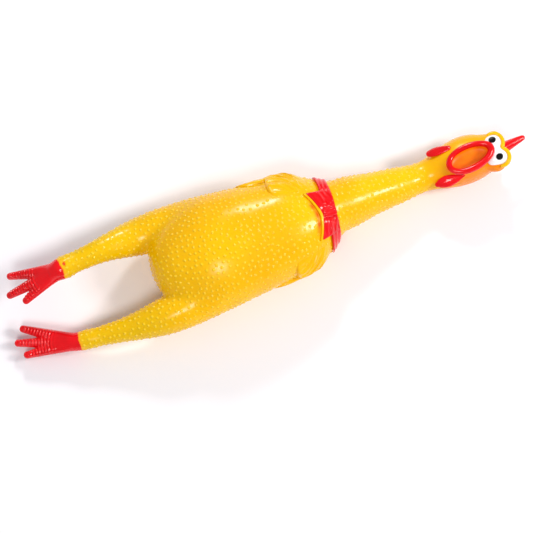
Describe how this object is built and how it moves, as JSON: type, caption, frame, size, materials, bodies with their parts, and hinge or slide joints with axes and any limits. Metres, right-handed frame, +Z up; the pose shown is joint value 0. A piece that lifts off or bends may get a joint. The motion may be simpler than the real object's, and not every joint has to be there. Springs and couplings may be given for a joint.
{
  "type": "rubber chicken",
  "caption": "Hollow vinyl squeaking chicken lying on its back, with a collar and bow tie, open mouth and a sound unit in its throat.",
  "frame": {"origin": "centre of the bounding box's bottom, on the table under the back", "axes": "+X from the feet to the comb, +Y to the chicken's right, +Z up out of the belly"},
  "size_m": [0.4018, 0.0924, 0.063],
  "materials": {
    "yellow_vinyl": "gloss",
    "red_paint": "gloss",
    "orange_paint": "satin",
    "white_paint": "gloss",
    "black_paint": "gloss",
    "ivory_plastic": "satin",
    "reed_film": "gloss"
  },
  "bodies": {
    "torso": {"torso_skin": "yellow_vinyl", "neck_collar": "red_paint", "left_bow_loop": "red_paint", "right_bow_loop": "red_paint", "bow_knot": "red_paint"},
    "belly": {"belly_panel": "yellow_vinyl"},
    "lower_neck": {"lower_neck_skin": "yellow_vinyl"},
    "upper_neck": {"upper_neck_skin": "yellow_vinyl"},
    "head": {"head_skin": "yellow_vinyl", "mouth_lining": "orange_paint", "mouth_lip": "red_paint", "brow_ridge": "yellow_vinyl", "comb": "red_paint", "left_eyeball": "white_paint", "right_eyeball": "white_paint", "left_pupil": "black_paint", "right_pupil": "black_paint", "left_wattle": "red_paint", "right_wattle": "red_paint", "sound_barrel": "ivory_plastic", "sound_inlet_cap": "ivory_plastic", "reed_board": "ivory_plastic", "reed_wedge": "ivory_plastic"},
    "reed": {"reed": "reed_film"},
    "left_wing": {"left_wing": "yellow_vinyl"},
    "right_wing": {"right_wing": "yellow_vinyl"},
    "left_thigh": {"left_thigh_skin": "yellow_vinyl"},
    "left_shin": {"left_shin_skin": "yellow_vinyl"},
    "left_foot": {"left_foot": "red_paint"},
    "right_thigh": {"right_thigh_skin": "yellow_vinyl"},
    "right_shin": {"right_shin_skin": "yellow_vinyl"},
    "right_foot": {"right_foot": "red_paint"}
  },
  "joints": [
    {"name": "belly_press", "type": "slide", "parent": "torso", "child": "belly", "axis": [0, 0, -1], "range_m": [0, 0.016], "stiffness_N_per_m": 400},
    {"name": "neck_sway", "type": "hinge", "parent": "torso", "child": "lower_neck", "pos_m": [0.054, 0, 0.02612], "axis": [0, 0, 1], "range_deg": [-20, 20], "stiffness_Nm_per_rad": 0.8},
    {"name": "neck_nod", "type": "hinge", "parent": "lower_neck", "child": "upper_neck", "pos_m": [0.08, 0, 0.0229], "axis": [0, 1, 0], "range_deg": [-20, 20], "stiffness_Nm_per_rad": 0.8},
    {"name": "head_nod", "type": "hinge", "parent": "upper_neck", "child": "head", "pos_m": [0.106, 0, 0.01905], "axis": [0, 1, 0], "range_deg": [-18, 18], "stiffness_Nm_per_rad": 0.8},
    {"name": "reed_flutter", "type": "hinge", "parent": "head", "child": "reed", "pos_m": [0.133, 0, 0.01762], "axis": [0, 1, 0], "range_deg": [-1.5, 1.5], "stiffness_Nm_per_rad": 0.02},
    {"name": "left_wing_flap", "type": "hinge", "parent": "torso", "child": "left_wing", "pos_m": [0.013, -0.0315, 0.0125], "axis": [1, 0, 0], "range_deg": [0, 25], "stiffness_Nm_per_rad": 0.2},
    {"name": "right_wing_flap", "type": "hinge", "parent": "torso", "child": "right_wing", "pos_m": [0.013, 0.038, 0.0317], "axis": [-1, 0, 0], "range_deg": [0, 25], "stiffness_Nm_per_rad": 0.2},
    {"name": "left_hip_swing", "type": "hinge", "parent": "torso", "child": "left_thigh", "pos_m": [-0.091, -0.0313, 0.0245], "axis": [0.0611, 0.9981, 0], "range_deg": [-25, 25], "stiffness_Nm_per_rad": 0.5},
    {"name": "left_knee_bend", "type": "hinge", "parent": "left_thigh", "child": "left_shin", "pos_m": [-0.12152, -0.02943, 0.01938], "axis": [0.1381, 0.9903, 0.013], "range_deg": [-25, 25], "stiffness_Nm_per_rad": 0.4},
    {"name": "left_ankle_bend", "type": "hinge", "parent": "left_shin", "child": "left_foot", "pos_m": [-0.15677, -0.02445, 0.01408], "axis": [0.3709, 0.9274, 0.0482], "range_deg": [-25, 25], "stiffness_Nm_per_rad": 0.2},
    {"name": "right_hip_swing", "type": "hinge", "parent": "torso", "child": "right_thigh", "pos_m": [-0.091, 0.0313, 0.0245], "axis": [-0.1132, 0.9936, 0], "range_deg": [-25, 25], "stiffness_Nm_per_rad": 0.5},
    {"name": "right_knee_bend", "type": "hinge", "parent": "right_thigh", "child": "right_shin", "pos_m": [-0.11975, 0.02802, 0.03561], "axis": [-0.1213, 0.9926, 0.0031], "range_deg": [-25, 25], "stiffness_Nm_per_rad": 0.4},
    {"name": "right_ankle_bend", "type": "hinge", "parent": "right_shin", "child": "right_foot", "pos_m": [-0.15177, 0.0241, 0.03957], "axis": [-0.009, 0.9999, -0.0107], "range_deg": [-25, 25], "stiffness_Nm_per_rad": 0.2}
  ]
}
